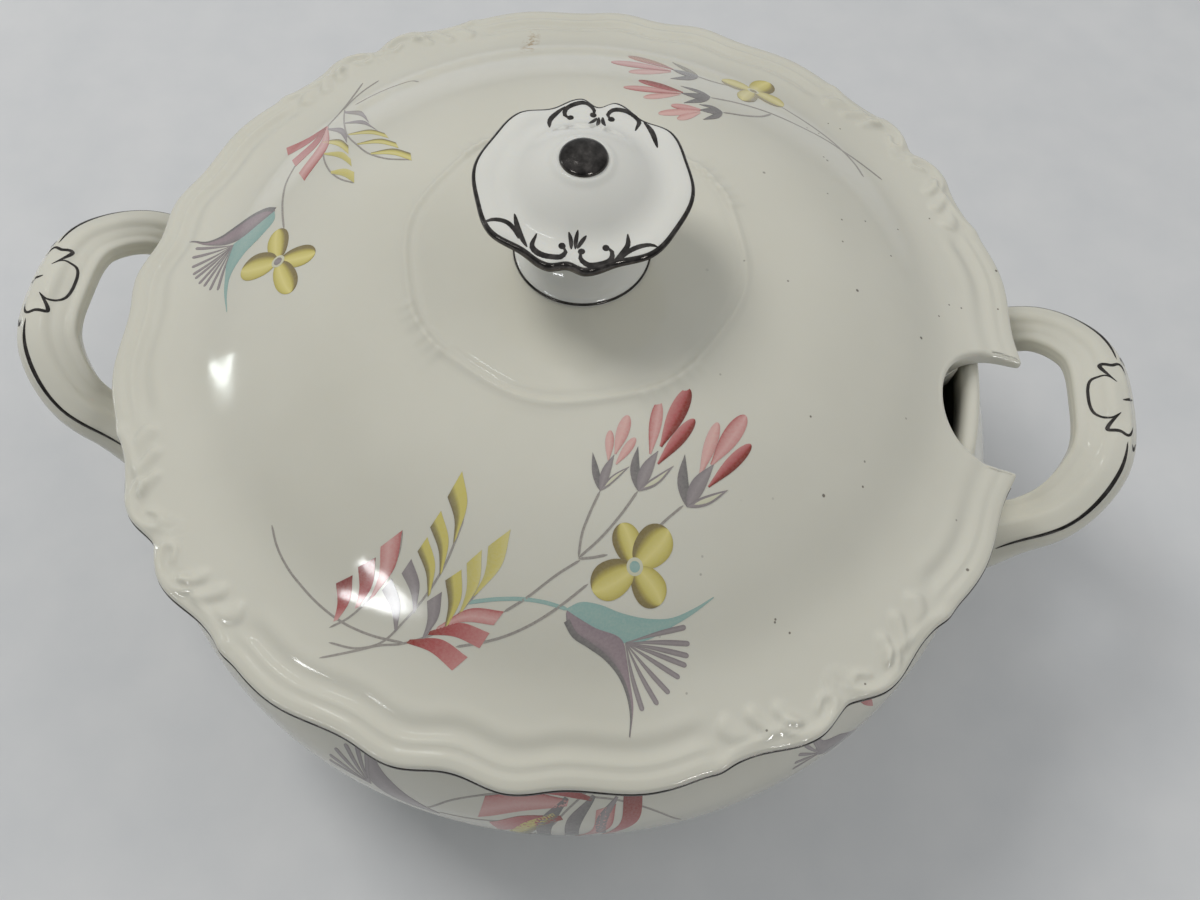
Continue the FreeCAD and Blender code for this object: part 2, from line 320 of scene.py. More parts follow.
def build_lid(material):
    """Makes the lid and returns its edge with the outward normals."""
    edge, normal, core = lid_outline()
    shoulder, foot = edge - normal * ROUND_TOP, edge - normal * ROUND_UNDER
    flats = [core * radius for radius in (*CORE_RADII, *np.arange(51, CORE_R, 3.9), CORE_R)]
    for part in (*np.linspace(0.06, 0.46, 8), *np.linspace(0.485, 1, 24)):
        flats.append(core * CORE_R * (1 - part) + shoulder * part)
    rows = [lid_surface(*flat.T) for flat in flats]
    crest = rows[-1][:, 2]
    for angle in np.radians([25, 50, 70, 90]):
        flat = edge - normal * ROUND_TOP * (1 - math.sin(angle))
        rows.append(at_height(flat, crest - ROUND_TOP * (1 - math.cos(angle))))
    base = lid_under(foot)[:, 2]
    rows.append(at_height(edge, np.minimum(rows[-1][:, 2] - 0.05, base + ROUND_UNDER)))
    for angle in np.radians([65, 40, 18, 0]):
        flat = edge - normal * ROUND_UNDER * (1 - math.sin(angle))
        rows.append(at_height(flat, base + ROUND_UNDER * (1 - math.cos(angle))))
    for part in (0.9, 0.8, 0.7, 0.62, 0.57, 0.53, 0.5, 0.46, 0.4, 0.3, 0.15, 0):
        rows.append(lid_under(core * CORE_R * (1 - part) + foot * part))
    rows += [lid_under(core * radius) for radius in (80, 70, 58, 46, 32, 18, 6)]
    crown = lid_surface([0.0], [0.0])[0, 2]
    points, faces = closed_grid(rows, True, crown, RIM_Z + UNDER_DOME[0][1])
    lid = add_piece("lid_porcelain", turned(points, LID_TURN), faces, material, "lid", "porcelain")
    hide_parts("lid_shell")
    return edge, normal


# ---------------------------------------------------------------- bowl

LIP_R = 2.7
LIP_CENTRE = (112.6, SEAT_Z - 0.3 - LIP_R)
BELLY = (
    (58.5, 12), (74, 15), (93, 21.5), (107.5, 29), (118, 38.5), (126.6, 49), (129.8, 61),
    (129, 72), (124.6, 83), (119, 93), (115.2, 101),
)
HOLLOW = (
    (109.9, 100.5), (114.5, 91.5), (119.8, 82.5), (124.1, 71.5), (125, 61), (121.6, 50.5), (114.2, 41.6),
    (103.5, 32.8), (90.5, 25.8), (70, 19.6), (48, 16.8), (24, 16.8), (0, 16.8),
)
BELLY_LINE = smooth_path(BELLY, 90)
FOOT = (
    (60.4, 0), (61.5, 0.35), (62, 1.6), (61.6, 3.2), (60.4, 5.6), (59.6, 8), (59.3, 10), (59.9, 11.2),
    (60.6, 12.2), (60.2, 13.2), (57, 13.4), (53, 12), (53.4, 8), (54.5, 1.6), (54.9, 0.4), (56.1, 0),
)
GIRTH_R = 125.0          # circle along which paint on the bowl is measured


def belly_radius(height):
    """Outer radius of the bowl at a height."""
    order = np.argsort(BELLY_LINE[:, 1])
    return np.interp(height, BELLY_LINE[order, 1], BELLY_LINE[order, 0])


def bowl_surface(around, height):
    """Points of the bowl's outside: around is millimetres along its girth from +X."""
    turn = np.asarray(around, float) / GIRTH_R
    r = belly_radius(height)
    return np.stack([r * np.cos(turn), r * np.sin(turn), height], -1)


def build_bowl(material):
    lip = LIP_CENTRE + LIP_R * circle(np.arange(0, 181, 12))
    profile = np.vstack([[(0, 12), (20, 12), (40, 12)], BELLY_LINE, lip, smooth_path(HOLLOW, 80)])
    bowl = add_piece("bowl_porcelain", *revolved(profile, 256), material, "bowl", "porcelain", sharp=60)
    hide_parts("bowl_body")


def build_foot(material):
    """Turned ring: bevelled tread, waisted outside with a small bead where it meets the bowl."""
    ring = add_piece("foot_porcelain", *revolved(FOOT, 256), material, "bowl", "porcelain", sharp=40)
    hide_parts("foot_ring")


# ---------------------------------------------------------------- handles

# Half of the centre line of the right handle, with the half width and half height of its oval section.
HANDLE_LINE = (
    (112, 36.4, 73, 8.6, 7.2), (126, 34.9, 80.2, 7.6, 5.8), (140.2, 30.8, 90.4, 7.9, 5),
    (149.6, 19.2, 98.4, 8.5, 4.6), (152.1, 0, 101, 8.9, 4.5),
)
HANDLE_STEPS = 150
HANDLE_SUNK = 2.4        # how far its ends reach into the bowl's wall


def handle_table():
    """The whole handle by distance along it: place, half width, half height and direction."""
    half = np.array(HANDLE_LINE)
    path = smooth_path(np.vstack([half[:-1] * (1, -1, 1, 1, 1), half[::-1]]), 401)
    run = distances(path[:, :3])
    return run, np.hstack([path, np.gradient(path[:, :3], run, axis=0)])


HANDLE_RUN, HANDLE_TABLE = handle_table()
HANDLE_HALF = HANDLE_RUN[-1] / 2


def handle_surface(run, across):
    """Points of the right handle: millimetres from its middle towards +Y, degrees round its section.

    0 degrees faces outwards, 90 up and 180 into the loop. A flat band runs along the outside, edged by
    a low ridge that carries the painted line, and a shallow channel lies inside the ridge. A small
    knuckle stands between two dips at the middle.
    """
    run, across = np.broadcast_arrays(np.asarray(run, float), np.asarray(across, float))
    here = np.stack([np.interp(run + HANDLE_HALF, HANDLE_RUN, c) for c in HANDLE_TABLE.T], -1)
    centre, wide, tall, way = np.split(here, (3, 4, 5), -1)
    way = way / np.linalg.norm(way, axis=-1, keepdims=True)
    up = (0, 0, 1) - way * way[..., 2:]
    up /= np.linalg.norm(up, axis=-1, keepdims=True)
    outward = np.cos(np.radians(across))[..., None] * np.cross(way, up)
    upward = np.sin(np.radians(across))[..., None] * up
    upper = np.abs((across + 180) % 360 - 180)
    proud = 0.36 * smooth(upper, 38, 50) * (1 - smooth(upper, 84, 98)) + 0.18 * hump(upper, 54, 6)
    proud += 0.54 * hump(upper, 156, 9) - 0.78 * smooth(upper, 92, 108) * (1 - smooth(upper, 134, 148))
    proud += 0.55 * hump(run, 0, 5.5) * hump(upper, 92, 26)
    proud -= 0.35 * hump(np.abs(run), 7.5, 2.2) * hump(upper, 78, 22)
    flare = 1 + 0.30 * smooth(np.abs(run), HANDLE_HALF - 26, HANDLE_HALF - 10)[..., None]
    return centre + flare * (wide * outward + tall * upward) + proud[..., None] * (outward + upward)


def build_handle(name, node, material, turn):
    runs = np.linspace(-HANDLE_HALF + 6, HANDLE_HALF - 6, HANDLE_STEPS)
    grid = handle_surface(runs[:, None], np.arange(0, 360, 5))
    wall = belly_radius(grid[..., 2]) - HANDLE_SUNK
    grid[..., :2] *= np.maximum(wall / np.hypot(grid[..., 0], grid[..., 1]), 1)[..., None]
    points, faces = closed_grid(grid, True)
    piece = add_piece(name, turned(points, turn), faces, material, "bowl", "porcelain")
    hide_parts(node)


# ---------------------------------------------------------------- knob

CAP_WAVE = ((0, 23.2), (10, 25), (27, 23.5), (47, 25.3), (68, 24.5), (90, 25.1))
CAP_R = 25.0
CAP_COLUMNS = 300
CAP_SHOULDER = 0.955     # where the cap's upper face turns down, as a share of its radius
CAP_TOP = (
    (0, 68.6), (5.4, 68.6), (6.4, 68.4), (7.4, 67.7), (9, 66.9), (11.5, 65.5), (13.5, 64.2), (15.5, 62.9),
    (17.5, 62), (19.5, 61.6), (22, 61.6), (24, 61.4), (25, 61.1),
)
# Shares of the radius with the drop below the shoulder, and then with the height above the lid's rim.
CAP_EDGE = ((0.975, 0.10), (0.99, 0.35), (1, 0.9), (1, 1.5), (0.99, 2), (0.97, 2.35), (0.94, 2.6))
CAP_UNDER = ((0.88, 58.5), (0.8, 58), (0.7, 57.5), (0.5, 57.4), (0.2, 57.4))
WAIST = (
    (17.3, 36.2), (16.6, 37.6), (14.2, 38.9), (12.2, 40.6), (10.2, 43.4), (9.6, 46.6), (10, 50),
    (11.4, 52.8), (13.8, 55.2), (17.5, 57.6),
)
BUTTON = (
    (0, 68.2), (5.3, 68.2), (5.5, 68.7), (5.35, 69.2), (4.9, 69.7), (4, 70.2), (2.6, 70.6), (1.3, 70.76),
    (0, 70.8),
)
KNOB_X = 1.7             # the knob's offset from the middle of the lid
KNOB_TURN = -1.8 - LID_TURN


def cap_radius(degrees):
    return wave(CAP_WAVE, degrees - 90)


def cap_surface(x, y):
    """Points of the knob's upper face, before it is turned and put on the lid."""
    x, y = np.asarray(x, float), np.asarray(y, float)
    degrees = np.degrees(np.arctan2(y, x))
    edge = cap_radius(degrees)
    flat = np.hypot(x, y)
    r = np.minimum(flat * (1 + (CAP_R / edge - 1) * smooth(flat, 13, 24)), CAP_R)
    lobe = (edge - 24.3) * 0.35 * smooth(r, 18, 24)
    return np.stack([x, y, RIM_Z + curve_through(CAP_TOP, r) + lobe], -1)


def on_lid(points, extra=0.0):
    """Knob points turned, shifted off centre and carried round with the lid."""
    return turned(turned(points, extra) + np.array([KNOB_X, 0, 0]), LID_TURN)


def build_knob(glaze, metal):
    degrees = np.arange(CAP_COLUMNS) * 360 / CAP_COLUMNS
    rim = circle(degrees) * cap_radius(degrees)[:, None]
    rows = [cap_surface(*(rim * part).T) for part in (*np.linspace(0.04, 0.94, 44), CAP_SHOULDER)]
    crest = rows[-1][:, 2]
    rows += [at_height(rim * part, crest - drop) for part, drop in CAP_EDGE]
    for part, height in CAP_UNDER:
        level = 1 - smooth(part, 0.8, 0.94)
        rows.append(at_height(rim * part, (crest - CAP_EDGE[-1][1]) * (1 - level) + (RIM_Z + height) * level))
    points, faces = closed_grid(rows, True, RIM_Z + CAP_TOP[0][1], RIM_Z + CAP_UNDER[-1][1])
    cap = add_piece("knob_cap_porcelain", on_lid(points, KNOB_TURN), faces, glaze, "lid", "porcelain")
    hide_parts("knob_cap")

    profile = np.vstack([[(0, 35), (17, 35)], smooth_path(WAIST, 40), [(12, 58), (0, 58)]])
    points, faces = revolved(profile + (0, RIM_Z), 144)
    stem = add_piece("knob_stem_porcelain", on_lid(points), faces, glaze, "lid", "porcelain", sharp=50)
    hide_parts("knob_stem")

    points, faces = revolved(np.array(BUTTON) + (0, RIM_Z), 96)
    button = add_piece("knob_button_platinum", on_lid(points), faces, metal, "lid", "platinum", sharp=70)
    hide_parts("knob_button")


# ---------------------------------------------------------------- painting

painted = {}             # patches of each (surface, colour), with their coordinates and lift
ROUND_KINDS = ("petal", "dot", "oval", "ray")
FINE = 400


def add_patch(place, colour, flat, u, lift):
    """Adds a grid of flat points to its colour's layer on a surface; u is each row's share of the way."""
    uv = np.stack(np.broadcast_arrays(u[:, None], np.linspace(0, 1, flat.shape[1])), -1)
    painted.setdefault((place, colour), []).append((flat, uv, lift))


def lay(place, colour, left, right, lift=0.05):
    """A patch of paint between two lines of flat points."""
    steps = int(np.clip(distances(left)[-1] / 0.8, 6, 90))
    a, b = (smooth_path(line, steps)[:, None, :] for line in (left, right))
    v = np.linspace(0, 1, 5)[:, None]
    add_patch(place, colour, a * (1 - v) + b * v, np.linspace(0, 1, steps), lift)


def rounded(u, widest, length):
    """Quarter ellipse from full width at widest to nothing at that length from it."""
    return np.sqrt(np.clip(1 - ((u - widest) / length) ** 2, 0, 1))


def width_of(kind, u):
    """Share of the full width along a stroke."""
    if kind == "petal":
        stalk = 0.16 + 0.84 * np.sin(np.clip(u / 0.62, 0, 1) * np.pi / 2) ** 1.2
        return np.where(u > 0.62, rounded(u, 0.62, 0.38), stalk)
    if kind == "dot":
        return rounded(u, 0.5, 0.5)
    if kind == "oval":
        return np.where(u > 0.58, rounded(u, 0.58, 0.42), rounded(u, 0.58, 0.60))
    if kind == "leaf":
        return np.clip(np.sin(np.pi * u ** 0.8), 0.02, 1)
    if kind == "ray":
        end = np.clip((u - 0.95) / 0.05, 0, 1)
        return (0.25 + 0.75 * smooth(u, 0, 0.8)) * np.sqrt(np.clip(1 - end ** 2, 0.02, 1))
    if kind == "taper":
        return np.clip(1 - u, 0.06, 1) ** 0.6
    if kind == "spindle":
        return np.clip(np.sin(np.pi * u), 0.04, 1) ** 0.5
    return np.sqrt(np.clip(1 - (2 * u - 1) ** 40, 0.05, 1))


def band(middle, flow, half, across):
    """Grid of flat points either side of a line whose direction is flow."""
    out = np.stack([-flow[:, 1], flow[:, 0]], 1) * (half / np.linalg.norm(flow, axis=1))[:, None]
    v = np.linspace(-1, 1, across + 1)[:, None]
    return middle[:, None, :] - out[:, None, :] * v


def stroke(place, colour, line, width, kind="line", lift=0.05, across=2):
    """A brush stroke along a line of flat points."""
    round_end = kind in ROUND_KINDS
    steps = int(np.clip(distances(line)[-1] / (0.3 if round_end else 0.8), 9, 120))
    u = np.linspace(0, 1, steps)
    if round_end:
        u = (1 - np.cos(np.pi * u)) / 2
    path = smooth_path(line, FINE)
    share = np.linspace(0, 1, FINE)
    middle, flow = (np.stack([np.interp(u, share, c) for c in table.T], 1)
                    for table in (path, np.gradient(path, axis=0)))
    add_patch(place, colour, band(middle, flow, width_of(kind, u) * width / 2, across), u, lift)


def bud(place, base, petals, sepals, dark="grey_mauve"):
    """Three drop petals, as (base, tip, width, colour), out of a calyx of (bend, tip, width)."""
    for start, tip, width, colour in petals:
        middle = ((start[0] + tip[0]) / 2, (start[1] + tip[1]) / 2)
        stroke(place, colour, (start, middle, tip), width, "petal", 0.06, 6)
    for k, (bend, tip, width) in enumerate(sepals):
        stroke(place, dark if k else "charcoal", (base, bend, tip), width, "leaf", 0.075 + 0.01 * k, 4)
    if dark == "grey_mauve":
        low, high = (tuple(np.array(bend) + 0.68 * (np.array(end) - bend)) for end in (base, tip))
        stroke(place, "cream", (low, bend, high), width * 0.5, "leaf", 0.12, 2)


def flower(place, centre, ends, dark_side, eye="teal"):
    """Four round petals, each shaded down one side, about a ringed eye."""
    centre = np.array(centre)
    for k, (x, y, width) in enumerate(ends):
        away = (x, y) - centre
        base = centre + away / np.linalg.norm(away) * 0.7
        colour = "petal_left" if dark_side[k] == "l" else "petal_right"
        stroke(place, colour, (base, (base + (x, y)) / 2, (x, y)), width, "oval", 0.06 + 0.008 * k, 8)
    for colour, radius, lift in (("cream", 1.9, 0.11), (eye, 1.2, 0.13)):
        line = (centre - (radius, 0), centre, centre + (radius, 0))
        stroke(place, colour, line, 2 * radius, "dot", lift, 6)


def feather(place, spine, blades):
    """Curved blades standing off a fine spine. Each blade is (tip, corner, foot, colour)."""
    if spine:
        stroke(place, "grey", spine, 0.5, "line", 0.06)
    for tip, corner, foot, colour in blades:
        tip, corner, foot = (np.array(p, float) for p in (tip, corner, foot))
        bow = np.array([tip[1] - foot[1], foot[0] - tip[0]]) * 0.13
        bow *= -np.sign(bow @ (corner - tip))
        heel = foot + 0.25 * (corner - tip)
        left = (foot, (foot + tip) / 2 + bow, tip)
        right = (heel, (heel + corner) / 2 + bow * 0.55, corner)
        lay(place, colour, left, right, 0.07)


def fan(place, origin, tips, width=1.15):
    """Rays from one point to each tip."""
    for k, tip in enumerate(tips):
        bend = 0.6 * (k - len(tips) / 2) / len(tips)
        middle = ((origin[0] + tip[0]) / 2 - bend, (origin[1] + tip[1]) / 2 - bend)
        stroke(place, "grey_mauve", (origin, middle, tip), width, "ray", 0.055 + 0.002 * k, 2)


def front_spray(p):
    """Three buds, a flower, a leaf with a fan, and three feathers."""
    pale, rose, deep = "pink", "rose", "maroon_edge"
    bud(p, (20, -59.8),
        (((20.3, -52.8), (19.2, -46), 2, pale), ((21.5, -51), (22.4, -41.5), 2.9, pale),
            ((22.2, -53.2), (25.2, -46.2), 2, pale)),
        (((18, -55.8), (16.4, -51.9), 1.7), ((20.4, -55), (21.3, -51.2), 2.1),
            ((22.6, -56), (25.3, -52.9), 1.3)))
    bud(p, (28.4, -57.6),
        (((29.3, -48.9), (28.7, -36.2), 2.9, rose), ((31.3, -46.6), (34.9, -31.2), 4.1, deep),
            ((31.5, -50.6), (37.6, -38.1), 3.1, deep)),
        (((26.6, -53), (26.2, -48), 2.2), ((29.4, -52), (30.9, -47.7), 2.9), ((32, -54.2), (35.1, -50), 1.7)))
    bud(p, (40.1, -57.8),
        (((41.5, -50.2), (43.1, -37.2), 2.9, pale), ((43.6, -47.2), (49.2, -33.4), 4.1, rose),
            ((44, -52.1), (51.8, -39.6), 3, deep)),
        (((37.9, -52.6), (37.1, -46.8), 2.6), ((41.6, -52.4), (44.1, -46.9), 3.4),
            ((44.7, -54.7), (48.6, -51.3), 2)))
    for line in (
        ((20, -59.8), (18.7, -65.4), (18.1, -69.2), (18.4, -74.2)),
        ((28.3, -57.7), (26.5, -61.9), (22.2, -69.6), (18.5, -74.4)),
        ((39.2, -57.7), (35.1, -63.1), (33, -66.5)), ((18.5, -74.6), (21.5, -73.6), (24.7, -72.2)),
        ((18.9, -74.8), (15, -78.3), (8.3, -85.3), (4.4, -88.6)),
        ((21.8, -79), (16.1, -85.3), (10.7, -90), (4.4, -93.9), (-0.3, -95.9), (-5, -97.5)),
        ((-56.5, -79), (-54.2, -83), (-49.9, -87.7), (-45.2, -91.2), (-40.1, -94.3), (-32.3, -97.5),
            (-25.3, -98.8), (-17, -99))):
        stroke(p, "grey", line, 0.55)
    flower(p, (31.3, -73), ((26.2, -65.2, 6.4), (36.9, -63.6, 8.2), (38.8, -78.9, 7.6), (23, -80, 8)), "llrr")
    stroke(p, "teal", ((-4.6, -88.5), (2.8, -86.3), (8.3, -85.2), (13, -84.8), (18.6, -85)), 0.8)
    lay(p, "teal",
        ((18.1, -85), (20.8, -83), (25, -82.4), (30.2, -82.8), (36.4, -82.4), (41.9, -80.8), (46.6, -77.5),
            (50.5, -73.9)),
        ((18.1, -85.2), (21, -86), (25, -87), (32.5, -88.4), (37.6, -86.5), (41.9, -83), (46.6, -78.7),
            (50.6, -74.1)))
    lay(p, "mauve",
        ((18.4, -85.2), (21, -86), (25, -87), (32.5, -88.4), (33.7, -90.8), (35.7, -95.5), (37.6, -100.2),
            (38.5, -107.2)),
        ((18.3, -85.8), (19, -87.9), (21, -89.7), (24.7, -90.8), (29.4, -92.4), (33.3, -95.1), (37.2, -101.5),
            (38.2, -107.2)), 0.055)
    stroke(p, "charcoal",
        ((18.8, -87.2), (21, -89.4), (24.7, -90.6), (29.4, -92.3), (33.3, -95), (36, -98.6), (37.6, -102.5),
            (38.3, -107)), 1.5, "taper", 0.07)
    fan(p, (32.9, -88.3),
        ((45.7, -81.6), (47.4, -84.6), (47.8, -87.1), (47.8, -89.2), (46.8, -92.1), (45.2, -95.9),
            (43.1, -98.9), (40, -101)))
    feather(p, ((-22.7, -76.6), (-22.5, -81.4), (-24.5, -87.3), (-27.6, -91.6), (-31.9, -96.3), (-35.8, -99)),
        (((-22.7, -76.6), (-27.1, -80.7), (-26.3, -90.6), "rose"),
            ((-27.8, -83), (-31.7, -85.5), (-29.6, -93.4), "maroon"),
            ((-32.7, -87.3), (-36.5, -89.5), (-34.2, -97), "maroon")))
    feather(p,
        ((-9, -72), (-9.8, -76.4), (-11.2, -82.2), (-13.6, -87.7), (-18.2, -94.7), (-23, -100.2),
            (-27.6, -102.1), (-35, -102.2)),
        (
            ((-11.8, -62.3), (-13.8, -68.2), (-9.7, -76), "yellow_right"),
            ((-14.6, -71.3), (-16.3, -75), (-11.4, -83.4), "yellow_right"),
            ((-16.5, -77.1), (-18.1, -80.3), (-13.2, -88.2), "yellow_right"),
            ((-19.2, -82.1), (-20.8, -85.3), (-15.8, -92), "grey_mauve"),
            ((-23, -86.6), (-24.8, -89.3), (-19.4, -96.5), "grey_mauve")))
    feather(p,
        ((1.9, -75.6), (0.1, -81.4), (-4.2, -88.5), (-8.1, -94), (-13.6, -97.5), (-18.2, -99.4),
            (-23, -100.6), (-27.6, -102.5), (-36.2, -106)),
        (
            ((2.1, -72.1), (-2.1, -76.4), (-2.2, -86), "yellow"),
            ((-3.4, -77.4), (-6.2, -80.7), (-5, -90.4), "yellow"),
            ((-7.1, -82.2), (-10.3, -85), (-7.6, -93.4), "yellow_right"),
            ((-10.6, -87.4), (-13.6, -89.8), (-12.4, -96.8), "grey_mauve")))
    feather(p, None,
        (((4.4, -88.5), (2.7, -91.6), (-10, -94.3), "rose"),
            ((2.1, -93.3), (0.5, -96.7), (-11.6, -95.5), "red"),
            ((-1.8, -99), (-4.7, -102.4), (-15.9, -98), "red")))


def left_spray(p):
    """Feathers on a long stem, a leaf with a fan, and a flower."""
    for line in (
        ((-79.8, -1.5), (-83, 4.6), (-85.9, 11), (-88, 17.4), (-88.7, 23.1), (-88.4, 34), (-87.1, 44.6),
            (-85.9, 54.6), (-85.5, 61.7), (-85.1, 69.6)),
        ((-80.1, 71), (-83, 65.3), (-84.8, 59.6), (-85.5, 54.6)),
        ((-64.1, 65.3), (-68, 68.1), (-71.6, 66.7), (-78, 61.7), (-82.3, 56.7))):
        stroke(p, "grey", line, 0.6)
    feather(p,
        ((-85.1, 54.6), (-83, 49.6), (-79.4, 42.4), (-75.1, 35.3), (-69.4, 29.2), (-63.7, 24.2),
            (-57.3, 21.4), (-49.8, 20.9)),
        (
            ((-73.4, 45.3), (-70.1, 40.3), (-84.9, 53.5), "grey_mauve"),
            ((-68, 37.8), (-65.1, 34.9), (-80.5, 44.5), "grey_mauve"),
            ((-62.3, 33.1), (-59.8, 30.3), (-75.4, 36.2), "yellow_left"),
            ((-56.9, 28.1), (-55.1, 25.6), (-69.6, 29.8), "yellow_left"),
            ((-50.9, 23.5), (-49.6, 20.6), (-63, 24.3), "yellow_left")))
    feather(p,
        ((-86.6, 45.3), (-84.8, 39.6), (-83, 33.9), (-80.1, 28.1), (-76.6, 22.4), (-72.3, 17.4), (-68, 14.2),
            (-63.4, 12.3)),
        (
            ((-75.1, 34.9), (-73.4, 31), (-86.2, 44), "grey_mauve"),
            ((-72.3, 29.6), (-70.5, 25.3), (-83.6, 35.6), "yellow_left"),
            ((-68.7, 22.8), (-66.9, 19.2), (-79.9, 28.4), "yellow"),
            ((-65.1, 16.7), (-63.4, 12.3), (-73.2, 18.6), "yellow")))
    feather(p, None,
        (((-95.1, 33.1), (-97.6, 37.1), (-86.6, 44.6), "red"),
            ((-88.4, 25.3), (-91.9, 29.6), (-86.6, 44.2), "red"),
            ((-81.2, 16.7), (-85.1, 21), (-86.2, 44.6), "rose")))
    lay(p, "mauve",
        ((-113.7, -0.1), (-107.5, -0.4), (-103.7, 1), (-99.4, 4.6), (-94.4, 7.8), (-90.1, 8.5), (-86.6, 6.7)),
        ((-113.6, -0.3), (-107.3, -1.6), (-103.7, -1.9), (-100.1, -2.1), (-95.1, -1.1), (-90.5, 2.6),
            (-86.4, 6.4)), 0.055)
    stroke(p, "charcoal",
        ((-86.8, 6.9), (-90.1, 8), (-94.4, 7.4), (-99.4, 4.2), (-103.7, 0.8), (-107.5, -0.6), (-113, -0.2)),
        1.6, "taper", 0.07)
    lay(p, "teal",
        ((-86.6, 6.4), (-85, 3.1), (-87.3, -2.6), (-90.9, -7.6), (-92.6, -14), (-91.2, -19.7),
            (-88.4, -25.8)),
        ((-90.5, 2.6), (-95.1, -1.1), (-97.3, -2.8), (-96.9, -7.6), (-94.8, -13.3), (-92.6, -18.9),
            (-88.6, -25.9)))
    fan(p, (-96.9, -2.9),
        ((-110.1, -2.9), (-109.8, -6.1), (-108.4, -9.4), (-106.9, -11.9), (-105.5, -13.3), (-103.4, -15.1),
            (-101.2, -16.1), (-98.4, -17.6), (-95.3, -18.1)), 0.95)
    flower(p, (-76.9, -12.6),
        ((-81.8, -1.3, 6.4), (-65.9, -11.2, 6.8), (-68.8, -22.6, 6.4), (-88.9, -13.3, 8.6)), "rllr",
        "grey_mauve")


def right_spray(p):
    """Three buds and a flower on their stems."""
    bud(p, (17.8, 86),
        (((9.9, 86.5), (-5, 93), 5.6, "maroon_left"), ((9.6, 84.4), (-8.5, 82.1), 5.6, "rose"),
            ((9.6, 83.2), (-1.7, 75), 4.2, "pink")),
        (((13.4, 91), (8.3, 96.3), 3), ((13.6, 85.5), (9.6, 86.2), 4.6), ((14.4, 80.6), (10.5, 77), 3)),
        "charcoal")
    bud(p, (23.2, 71.2),
        (((15.4, 68.6), (2.1, 69.9), 3.6, "maroon_left"), ((15, 67.4), (-1.1, 63.4), 3.4, "rose"),
            ((14.6, 66.4), (5.4, 59.8), 2.8, "pink")),
        (((19, 72.6), (14.1, 72.9), 2.2), ((19.4, 68.8), (15, 67.8), 3.6), ((20.4, 66.2), (16.6, 62.1), 2.4)),
        "charcoal")
    bud(p, (27.7, 63.4),
        (((22.3, 61), (13.4, 58.9), 3, "rose"), ((21.6, 60), (10.8, 53.3), 3, "pink"),
            ((21.8, 59.2), (16.3, 52.8), 2.6, "pink")),
        (((24.6, 64.4), (20.8, 63.7), 1.8), ((24.6, 62), (21.4, 60.6), 3), ((26.2, 59.8), (23.1, 56), 2)),
        "charcoal")
    for line in (
        ((17.6, 86), (21.5, 85.4), (25, 86), (29, 87.5)),
        ((23.4, 70.8), (31.2, 73.7), (40.8, 75.7), (50.5, 76.3), (60.2, 76), (65.4, 74.4), (69.9, 72.8),
            (78.3, 68.6)), ((27.9, 63.4), (34.4, 66.6), (38.9, 70.5), (41.5, 75)),
        ((44.6, 86.4), (53.7, 82.1), (60.2, 78.3), (65.4, 74.1), (69.2, 69.9), (72.1, 64.7))):
        stroke(p, "grey", line, 0.75)
    flower(p, (35, 90.8), ((24.8, 91, 9.5), (39.5, 101.2, 7.5), (45, 87.4, 9), (32.6, 77.2, 6)), "lrrl",
        "olive")


def bowl_sprays(p):
    """The same motifs small on the belly, in front and again behind."""
    for start in (-90, 90):
        middle = math.radians(start) * GIRTH_R

        def at(*points):
            return tuple((middle + s, z) for s, z in points)

        for line in (
            ((-22.9, 70.3), (-16.2, 78.8), (-8.5, 83.8), (4, 88)), ((-19, 70.2), (-11, 71.6), (4, 76)),
            ((4, 88), (14, 87), (27, 84.2), (37.2, 76.5), (43, 68)), ((20, 90), (14, 82), (8, 70), (2, 58))):
            stroke(p, "grey", at(*line), 0.6)
        for tip, corner, foot, colour in (
            ((-7.2, 84), (-8.9, 74), (14, 85.5), "rose"), ((-6, 72), (-3.5, 65), (12, 79), "red"),
            ((0, 91), (-1, 86.5), (20, 86), "red"), ((-1, 66), (3, 61), (10, 80), "yellow_right"),
            ((6, 64), (9.5, 61), (13, 86.5), "charcoal"), ((13, 66), (16.5, 63), (20, 87), "charcoal"),
            ((21, 68), (23.5, 66), (26, 86), "grey_mauve"), ((26, 83), (21, 81), (17, 62), "rose"),
            ((33, 87), (28, 86), (24, 64), "maroon")):
            feather(p, None, ((*at(tip, corner, foot), colour),))
        fan(p, at((-38, 72))[0],
            at((-50.5, 72.5), (-50.3, 76), (-48.8, 80.5), (-46, 84.5), (-43, 87.2), (-39.8, 88.5)), 1.5)
        lay(p, "grey_mauve", at((-38.2, 88.4), (-35.5, 82), (-30.5, 77), (-19, 69)),
            at((-40, 84), (-39, 76), (-34, 70), (-19.4, 68.4)))
        fan(p, at((83, 73))[0], at((74, 73.5), (74.6, 76.4), (76, 79.2), (78.2, 81.4), (80.8, 82.6)), 1.1)
        lay(p, "grey_mauve", at((82, 82.5), (84, 78.5), (89, 76), (96, 69)),
            at((81.6, 80), (81.5, 74), (86, 69), (95.6, 68.4)))
        stroke(p, "red", at((97, 84.5), (99.2, 81.3), (101.4, 76)), 2.6, "leaf", 0.06, 4)


def outline_on_handle(p, line):
    """A platinum stroke where the second coordinate is an angle round the section."""
    scale = (1, 0.115)           # millimetres in each coordinate's unit
    middle = smooth_path(np.array(line) * scale, 60)
    u = np.linspace(0, 1, 60)
    flat = band(middle, np.gradient(middle, axis=0), 0.425 * width_of("spindle", u), 2)
    add_patch(p, "platinum", flat / scale, u, 0.05)


